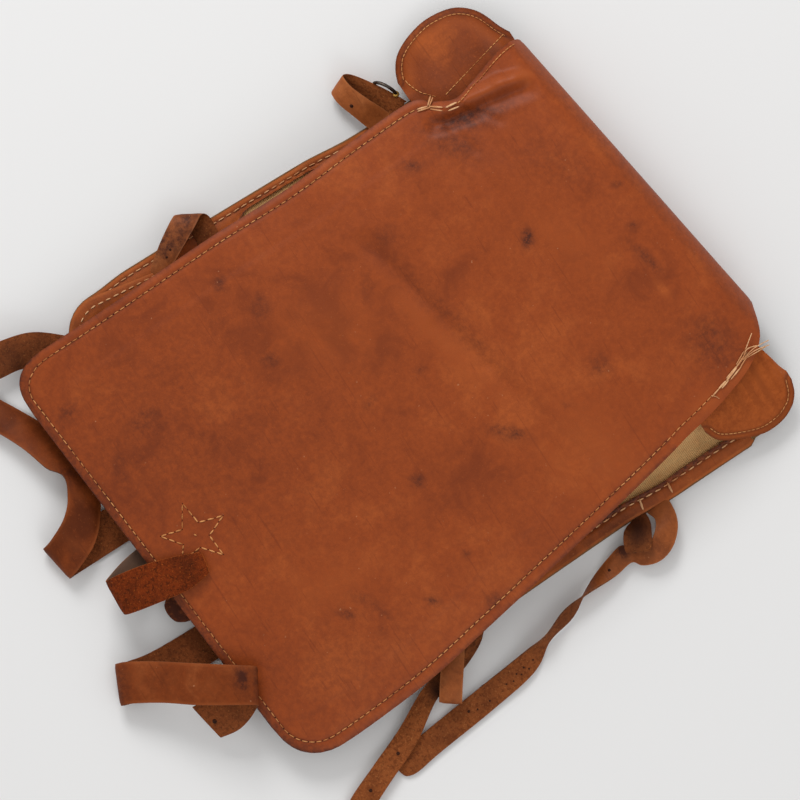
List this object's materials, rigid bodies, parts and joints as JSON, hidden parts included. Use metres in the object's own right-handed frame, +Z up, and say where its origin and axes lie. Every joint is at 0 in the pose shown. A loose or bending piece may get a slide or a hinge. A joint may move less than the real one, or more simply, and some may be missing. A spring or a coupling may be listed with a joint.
{
  "type": "leather and canvas military backpack",
  "caption": "Flat leather and canvas backpack lying on its back, with a large leather flap, rounded ears, leather edging and loose leather straps.",
  "frame": {"origin": "middle of the lowest face of the whole pack's box, on the surface that it lies on", "axes": "+Z up out of the flap, +Y toward the head end where the flap is hinged, +X toward the right side seen from above"},
  "size_m": [0.4452, 0.525, 0.0492],
  "materials": {
    "canvas": "worn khaki canvas, matt",
    "flap_leather": "aged brown leather, satin, stained",
    "edge_leather": "stitched brown edging, satin",
    "strap_leather": "dark brown strap leather, worn",
    "iron": "dark blackened wire"
  },
  "bodies": {
    "root": {"back_panel": "canvas", "canvas_body": "canvas", "edge_strip_left": "edge_leather", "edge_strip_right": "edge_leather", "bottom_band": "edge_leather", "flap": "flap_leather", "ear_left": "flap_leather", "ear_right": "flap_leather", "shoulder_strap_left": "strap_leather", "shoulder_strap_right": "strap_leather", "closing_strap": "strap_leather", "bottom_tab": "strap_leather", "side_strap_left_upper": "strap_leather", "side_strap_left_lower": "strap_leather", "side_strap_right_upper": "strap_leather", "side_keeper_right": "strap_leather", "side_strap_right_lower": "strap_leather", "side_loop_right": "strap_leather", "buckle": "iron"}
  },
  "joints": []
}
